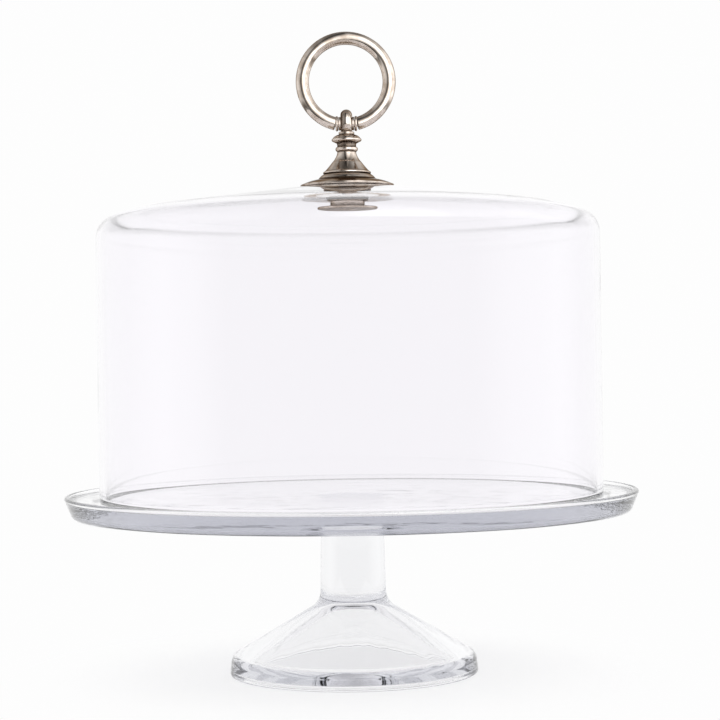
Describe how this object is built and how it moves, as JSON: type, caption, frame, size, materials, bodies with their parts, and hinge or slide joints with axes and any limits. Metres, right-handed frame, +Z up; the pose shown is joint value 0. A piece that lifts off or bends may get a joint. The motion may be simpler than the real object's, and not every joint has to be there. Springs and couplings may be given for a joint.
{
  "type": "cake stand with dome",
  "caption": "Footed clear glass cake stand with a lift-off glass dome; a turned metal finial carries a swinging ring handle.",
  "frame": {"origin": "centre of the foot's underside, on the surface that the stand rests on", "axes": "+Z up along the axis of the stem and dome; the ring's pivot runs along X, so the ring faces -Y"},
  "size_m": [0.3299, 0.33, 0.3713],
  "materials": {
    "pressed_glass": "clear, fire-polished",
    "blown_glass": "clear, fire-polished",
    "clear_rubber": "soft satin",
    "antique_nickel": "nickel plated, antiqued and polished"
  },
  "bodies": {
    "stand": {"plate": "pressed_glass", "pedestal": "pressed_glass"},
    "dome_assembly": {"dome": "blown_glass", "upper_gasket": "clear_rubber", "hole_bush": "clear_rubber", "lower_gasket": "clear_rubber", "clamp_washer": "antique_nickel", "clamp_nut": "antique_nickel", "flange_disc": "antique_nickel", "bell": "antique_nickel", "knob_post": "antique_nickel"},
    "ring_handle": {"ring": "antique_nickel", "ring_collars": "antique_nickel", "pivot_pin": "antique_nickel"}
  },
  "joints": [
    {"name": "dome_lift", "type": "slide", "parent": "stand", "child": "dome_assembly", "axis": [0, 0, 1], "range_m": [0, 0.2]},
    {"name": "ring_swing", "type": "hinge", "parent": "dome_assembly", "child": "ring_handle", "pos_m": [0, 0, 0.3179], "axis": [1, 0, 0], "range_deg": [-132, 132]}
  ]
}
